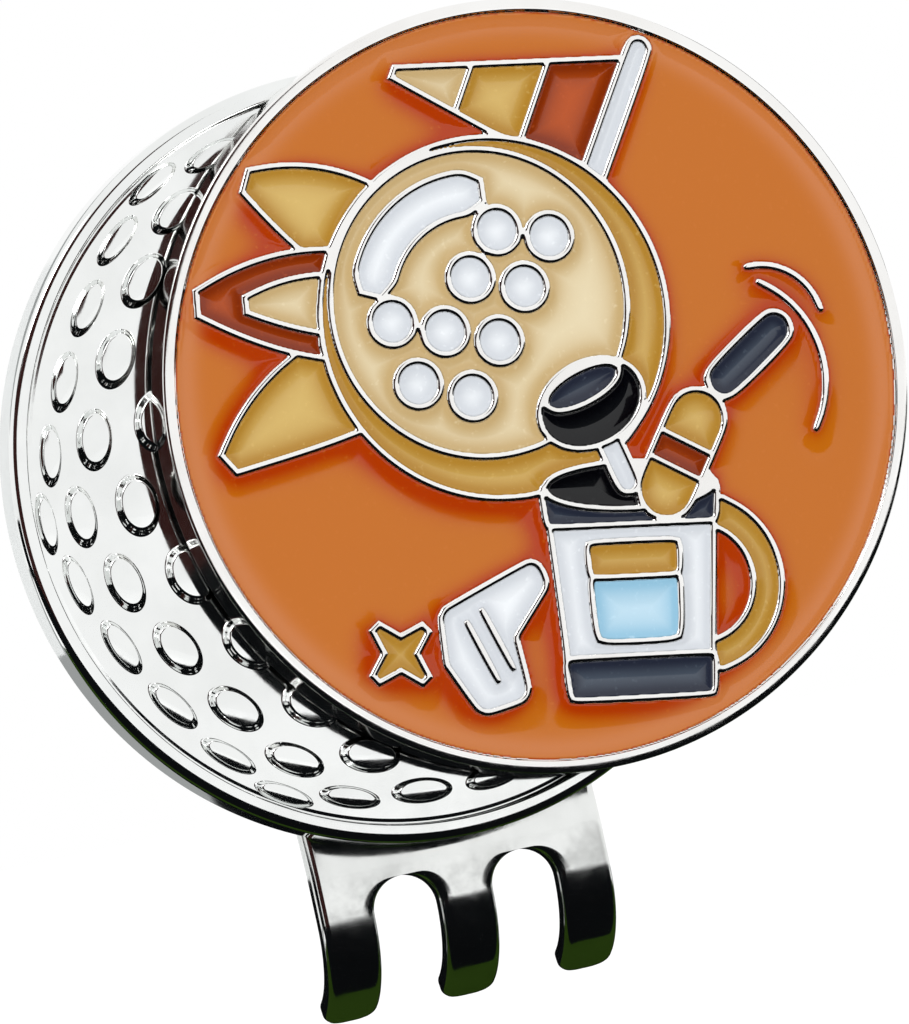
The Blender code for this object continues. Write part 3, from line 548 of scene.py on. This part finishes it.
# Marker ---------------------------------------------------------------------------------------
def outline_of(node):
    """The border segments of a pool's top: edges used by one upward triangle only, as (n, 2, 2)."""
    mesh = NODES[node].data
    mesh.calc_loop_triangles()
    points = np.empty(len(mesh.vertices) * 3)
    mesh.vertices.foreach_get("co", points)
    flat = coin_flat(points.reshape(-1, 3))
    triangles = np.empty(len(mesh.loop_triangles) * 3, int)
    mesh.loop_triangles.foreach_get("vertices", triangles)
    _, first, index = np.unique(np.round(flat, 4), axis=0, return_index=True, return_inverse=True)
    flat, triangles = flat[first], index.reshape(-1)[triangles.reshape(-1, 3)]
    top = (flat[triangles][:, :, 2] > RECESS_FLOOR + 0.15).all(1)
    a, b, c = np.moveaxis(flat[triangles[top]], 1, 0)
    facing = (b - a)[:, 0] * (c - a)[:, 1] - (b - a)[:, 1] * (c - a)[:, 0]
    kept = triangles[top][np.abs(facing) > 1e-9]
    edges = np.sort(np.concatenate([kept[:, [0, 1]], kept[:, [1, 2]], kept[:, [2, 0]]]), 1)
    edges, count = np.unique(edges, axis=0, return_counts=True)
    return flat[edges[count == 1]][:, :, :2]


def softened(segments, rounds=3, sharpest=48.0):
    """Corner cutting: where two segments meet at a shallow angle, both give up the quarter next to
    the corner and a new segment joins the cuts. Sharp corners stay."""
    for _ in range(rounds):
        ends = segments.reshape(-1, 2)
        _, index = np.unique(np.round(ends, 4), axis=0, return_inverse=True)
        index = index.reshape(-1)
        order, count = np.argsort(index, kind="stable"), np.bincount(index)
        start = (np.cumsum(count) - count)[count == 2]
        a, b = order[start], order[start + 1]
        along = segments[:, ::-1].reshape(-1, 2) - ends
        size = np.maximum(np.linalg.norm(along, axis=1), 1e-9)
        straight = -(along[a] * along[b]).sum(1) / (size[a] * size[b])
        shallow = straight > math.cos(math.radians(sharpest))
        a, b = a[shallow], b[shallow]
        moved = ends.copy()
        moved[a] += 0.25 * along[a]
        moved[b] += 0.25 * along[b]
        segments = np.concatenate([moved.reshape(-1, 2, 2), np.stack([moved[a], moved[b]], 1)])
    return segments


def distance_to(u, v, segments):
    """Distance from points to segments, one each: the point less its clamped foot on the segment."""
    (au, av), (bu, bv) = np.moveaxis(segments, (-2, -1), (0, 1))
    run_u, run_v = bu - au, bv - av
    share = ((u - au) * run_u + (v - av) * run_v) / np.maximum(run_u**2 + run_v**2, 1e-12)
    share = np.clip(share, 0, 1)
    return np.hypot(u - au - share * run_u, v - av - share * run_v)


def read_pools():
    """Labels every grid point with the pool that holds it (0 is metal) and its distance to the
    nearest border. Inside means an odd number of borders to the left on the point's row; the
    nearest border is passed from neighbour to neighbour in halving jumps."""
    names = sorted(name for name in NODES if "_enamel" in name)
    axis = np.arange(-12.3, 12.3, STEP) + 0.0137
    u, v = np.meshgrid(axis, axis, indexing="ij")
    label = np.zeros(u.shape, int)
    borders = []
    for number, name in enumerate(names, 1):
        border = softened(outline_of(name))
        borders.append(border)
        (au, av), (bu, bv) = np.moveaxis(border, 0, -1)
        crosses = (au[:, None] > axis) != (bu[:, None] > axis)
        segment, row = np.nonzero(crosses)
        share = (axis[row] - au[segment]) / (bu[segment] - au[segment])
        column = np.searchsorted(axis, av[segment] + share * (bv[segment] - av[segment]))
        toggles = np.zeros((len(axis), len(axis) + 1), int)
        np.add.at(toggles, (row, column), 1)
        label[(np.cumsum(toggles, 1)[:, :-1] % 2) == 1] = number
    borders = np.concatenate(borders)
    length = np.linalg.norm(borders[:, 1] - borders[:, 0], axis=1)
    copies = np.maximum(2, np.ceil(length / (STEP / 2)).astype(int))
    owner = np.repeat(np.arange(len(borders)), copies)
    rank = np.arange(len(owner)) - np.repeat(np.cumsum(copies) - copies, copies)
    share = (rank / (copies[owner] - 1))[:, None]
    samples = borders[owner, 0] * (1 - share) + borders[owner, 1] * share
    cell = np.clip(np.round((samples - axis[0]) / STEP).astype(int), 0, len(axis) - 1)
    nearest = np.full(u.shape, -1)
    nearest[cell[:, 0], cell[:, 1]] = owner
    best = np.where(nearest >= 0, distance_to(u, v, borders[nearest]), 1e9)
    for jump in (64, 32, 16, 8, 4, 2, 1, 2, 1):
        for du, dv in ((-1, 0), (1, 0), (0, -1), (0, 1), (-1, -1), (-1, 1), (1, -1), (1, 1)):
            other = np.roll(nearest, (du * jump, dv * jump), (0, 1))
            found = np.where(other >= 0, distance_to(u, v, borders[other]), 1e9)
            closer = found < best
            best, nearest = np.where(closer, found, best), np.where(closer, other, nearest)
    return names, u, v, label, best


def blurred(mask, width):
    """The mask smoothed by a bell curve of this width in millimetres, by way of its spectrum."""
    along = np.fft.fftfreq(mask.shape[0], STEP)[:, None]
    across = np.fft.rfftfreq(mask.shape[1], STEP)
    bell = np.exp(-2 * (np.pi * width) ** 2 * (along**2 + across**2))
    return np.fft.irfft2(np.fft.rfft2(mask) * bell, mask.shape)


def relief(name, u, v, w, cells, material, fields=None, **more):
    """The sheet (u, v, w) over the chosen grid cells, facing out of the coin."""
    used = np.zeros(u.shape, bool)
    for du, dv in ((0, 0), (1, 0), (1, 1), (0, 1)):
        used[du : du + cells.shape[0], dv : dv + cells.shape[1]] |= cells
    order = np.cumsum(used.ravel()).reshape(u.shape) - 1
    i, j = np.nonzero(cells)
    faces = np.stack([order[i, j], order[i + 1, j], order[i + 1, j + 1], order[i, j + 1]], -1).tolist()
    kept = {label: values[used] for label, values in (fields or {}).items()}
    points = coin_space(u[used], v[used], w[used])
    return make_piece(name, points, faces, material, "marker", fields=kept, **more)


def any_corner(mask):
    """The grid cells with at least one corner in the mask."""
    return mask[:-1, :-1] | mask[1:, :-1] | mask[1:, 1:] | mask[:-1, 1:]


def all_corners(mask):
    """The grid cells with all four corners in the mask."""
    return mask[:-1, :-1] & mask[1:, :-1] & mask[1:, 1:] & mask[:-1, 1:]


def enamel_painted_light(names, label, away, radius):
    """Painted light on the enamel, per grid point. First the share of painted shade: on open ground a
    painted shadow round the drawings, their blurred shape moved to the lower left, and a narrow
    painted shade at the foot of each line; in closed pools 0.72 exp(-d / 0.40) + 0.28 exp(-d / 1.8),
    darker next to the metal. Then a painted reflection on the ground: a soft pale ring just inside the rim."""
    ground = np.isin(label, [number for number, name in enumerate(names, 1) if name.startswith("ground")])
    shift = round(SHADOW_SHIFT / STEP)
    # Painted shadow: the drawings blurred and moved to the lower left.
    drawings = blurred(~ground & (radius < RECESS_RADIUS - 0.1), SHADOW_WIDTH)
    cast_shadow = np.roll(drawings, (-shift, -shift), (0, 1))
    gap = RECESS_RADIUS - radius
    open_shade = np.clip(1.25 * cast_shadow, 0, 1) + 0.35 * np.exp(-away / 0.25) * np.clip(gap - 0.5, 0, 1)
    closed_shade = 0.72 * np.exp(-away / 0.40) + 0.28 * np.exp(-away / 1.8)
    # Painted reflection: a pale ring just inside the rim, on the ground only.
    thin = np.where(ground, np.exp(-(((gap - SHEEN_RING) / 0.40) ** 2)), 0.0)
    return np.where(ground, open_shade, closed_shade), thin


def build_lines_and_pools():
    """Metal stands at COIN_THICK with shoulders rounded as e (1 - d / r)^2; enamel starts just
    below it at each border and sinks by DIP (1 - exp(-d / MENISCUS)), d being the distance."""
    names, u, v, label, away = read_pools()
    slots = {row["node"]: row["material_slot"] for row in frame["record"]["subparts"]}
    metal = label == 0
    radius = np.hypot(u, v)
    foot = COIN_THICK - LINE_DROP
    shoulder = LINE_DROP * np.clip(1 - away / LINE_ROUND, 0, 1) ** 2
    w = np.maximum(np.where(metal, COIN_THICK - shoulder, foot - 9.0 * away), RECESS_FLOOR)
    lines = metal & (radius < RECESS_RADIUS - 0.01)
    band = any_corner(lines) & all_corners(radius < RECESS_RADIUS + 0.05)
    relief("raised_lines", u, v, w, band, COIN_NICKEL, slot="marker_plating")
    # Painted shade and painted reflection for the enamel, kept on the pools' points as fields.
    shade_share, thin = enamel_painted_light(names, label, away, radius)
    brim = foot + 0.005
    level = brim - DIP * (1 - np.exp(-away / MENISCUS))
    for number, name in enumerate(names, 1):
        mine = label == number
        w = np.where(mine, level, brim - 1.2 * away)
        wall = np.where(mine, shade_share, 1.0)
        every = 2 if name == "ground_enamel" else 1
        pu, pv, pw, pwall, pool_sheen, inside = (
            grid[::every, ::every] for grid in (u, v, w, wall, thin, mine)
        )
        relief(
            name.replace("_enamel", "_pool"), pu, pv, pw, any_corner(inside),
            ENAMELS[slots[name].replace("enamel_", "")], {"wall": pwall, "thin": pool_sheen},
            replaces=(name,), slot=slots[name],
        )


def build_coin():
    """The coin is one turned solid: shallow dished back, plain wall, a rim crowned as a parabola,
    and the recess that holds the enamel."""
    edge, crown_drop = 0.07, 0.015
    outer = COIN_RADIUS - edge
    profile = [(0.0, 0.05), (11.8, 0.05), (11.9, 0.0)]
    profile += arc((outer, edge), edge, -90, 0, 6)
    profile += arc((outer, COIN_THICK - edge - crown_drop), edge, 0, 78, 7)
    middle, half = (RECESS_RADIUS + outer) / 2 + 0.02, (outer - RECESS_RADIUS) / 2
    for share in np.linspace(0.9, -0.9, 7):
        profile.append((middle + half * share, COIN_THICK - crown_drop * share**2))
    profile += arc((RECESS_RADIUS + 0.05, COIN_THICK - 0.07), 0.05, 90, 180, 4)
    profile += [(RECESS_RADIUS, RECESS_FLOOR), (0.0, RECESS_FLOOR)]
    turned(
        "marker_body", profile, ROUND_SIDES, coin_space, COIN_NICKEL, "marker",
        replaces=("marker_blank",), slot="marker_plating",
    )


# Stage ----------------------------------------------------------------------------------------
def flat_material(name, colour, strength=0.0):
    """Matt board or paint with no sheen, its tone drifting by two parts in a hundred."""
    paint = Paint(name, Roughness=0.9)
    paint.shader.inputs["Specular IOR Level"].default_value = 0.0
    shade = paint.spread(paint.noise(6.0, 2.0), 0.2, 0.8)
    low = tuple(channel * 0.98 for channel in colour)
    paint.feed("Base Color", paint.mix(shade, low, colour))
    if strength:
        paint.shader.inputs["Emission Color"].default_value = (*colour, 1.0)
        paint.shader.inputs["Emission Strength"].default_value = strength
    return paint.material


def stage_sheet(name, centre, right, up, material, seen=True):
    """A flat sheet from its middle and two half-sides, in metres. A studio card is not seen
    directly, only in reflections."""
    centre, right, up = Vector(centre), Vector(right), Vector(up)
    corners = [centre - right - up, centre + right - up, centre + right + up, centre - right + up]
    mesh = bpy.data.meshes.new(name)
    mesh.from_pydata([tuple(c) for c in corners], [], [(0, 1, 2, 3)])
    mesh.materials.append(material)
    sheet = bpy.data.objects.new(name, mesh)
    bpy.context.scene.collection.objects.link(sheet)
    if not seen:
        sheet.visible_camera = False
        sheet.visible_diffuse = False
        sheet.visible_shadow = False
    return sheet


def soft_light(name, place, aim, size, power):
    """A round soft lamp at a place, turned to its aim."""
    data = bpy.data.lights.new(name, "AREA")
    data.shape, data.size, data.energy = "DISK", size, power
    lamp = bpy.data.objects.new(name, data)
    lamp.location = place
    lamp.rotation_euler = (Vector(aim) - Vector(place)).to_track_quat("-Z", "Y").to_euler()
    bpy.context.scene.collection.objects.link(lamp)


def direction(azimuth, elevation):
    """The unit vector (sin a cos e, -cos a cos e, sin e)."""
    level = math.cos(elevation)
    return Vector((math.sin(azimuth) * level, -math.cos(azimuth) * level, math.sin(elevation)))


def facing_card(name, azimuth, elevation, distance, half_width, half_height, material):
    """A card square to the line from the clip to a direction; azimuth 0 is -Y and grows towards +X."""
    turn = math.radians(azimuth)
    way = direction(turn, math.radians(elevation))
    right = Vector((math.cos(turn), math.sin(turn), 0.0))
    up = right.cross(-way)
    return stage_sheet(name, way * distance, right * half_width, -up * half_height, material, seen=False)


def build_stage():
    """A white room with a pale floor, and the dark and grey cards that the metal mirrors: black and
    green under the clip, brown by the camera, grey behind."""
    world = bpy.data.worlds.new("studio")
    bpy.context.scene.world = world
    world.use_nodes = True
    world.node_tree.nodes["Background"].inputs["Color"].default_value = (1.0, 1.0, 1.0, 1.0)
    world.node_tree.nodes["Background"].inputs["Strength"].default_value = 1.0
    floor = flat_material("pale_floor", (0.95, 0.95, 0.95), 0.12)
    stage_sheet("floor", (0, 0, -0.026), (3.0, 0, 0), (0, 3.0, 0), floor)
    dark = flat_material("black_card", (0.0035, 0.0040, 0.0045))
    green = flat_material("dark_green_card", (0.019, 0.040, 0.005))
    brown = flat_material("dark_brown_card", (0.030, 0.011, 0.010))
    pale = flat_material("pale_grey_card", (0.78, 0.79, 0.79))
    grey = flat_material("grey_card", (0.32, 0.33, 0.33))
    stage_sheet("under_front", (0.0, -0.1195, -0.0235), (0.25, 0, 0), (0, 0.1205, 0), dark, seen=False)
    stage_sheet("under_back", (0.0, 0.018, -0.0235), (0.06, 0, 0), (0, 0.017, 0), green, seen=False)
    stage_sheet("under_behind", (0.0, 0.125, -0.0236), (0.25, 0, 0), (0, 0.090, 0), grey, seen=False)
    facing_card("beside_camera", -29.0, -3.0, 0.20, 0.085, 0.100, brown)
    facing_card("above_camera", -22.0, 20.0, 0.21, 0.115, 0.040, brown)
    facing_card("behind_left", -152.0, -2.0, 0.14, 0.070, 0.075, pale)
    facing_card("behind_above", -135.0, 36.0, 0.26, 0.130, 0.070, grey)
    facing_card("left_low", -82.0, -9.0, 0.20, 0.075, 0.045, dark)
    stage_sheet("behind_fingers", (-0.004, 0.012, -0.0178), (0.014, 0, 0), (0, 0, 0.0048), dark, seen=False)
    facing_card("right_above", 104.0, 24.0, 0.16, 0.045, 0.050, dark)
    soft_light("key", (-0.21, -0.30, 0.27), (0, 0, 0), 0.18, 0.42)
    bpy.context.scene.view_settings.view_transform = "Standard"


def build_camera():
    """A long lens 250 mm from the clip's origin, turned left and a little low, and rolled. The view
    is view_height tall at the origin, and its middle lies aim_right and aim_up of it."""
    azimuth, elevation, roll = (math.radians(angle) for angle in (-17.2, -1.6, -12.2))
    distance, view_height, aim_right, aim_up = 250.0, 33.0323, 2.53, -1.74
    back = direction(azimuth, elevation)
    level = Vector((0, 0, 1)).cross(back).normalized()
    upright = back.cross(level)
    right = math.cos(roll) * level + math.sin(roll) * upright
    up = -math.sin(roll) * level + math.cos(roll) * upright
    camera = bpy.data.cameras.new("camera")
    camera.sensor_width = 36.0
    camera.lens = camera.sensor_width * distance / view_height
    camera.clip_start = 0.005
    holder = bpy.data.objects.new("camera", camera)
    matrix = Matrix((right, up, back)).transposed().to_4x4()
    matrix.translation = (back * distance + right * aim_right + up * aim_up) * MM
    holder.matrix_world = matrix
    bpy.context.scene.collection.objects.link(holder)
    bpy.context.scene.camera = holder


build_plate()
build_pips()
build_magnet()
NODES["magnet_glue"].data.materials.clear()
NODES["magnet_glue"].data.materials.append(set_glue("clear_glue"))
build_spring()
build_rivets()
build_lines_and_pools()
build_coin()
build_stage()
build_camera()
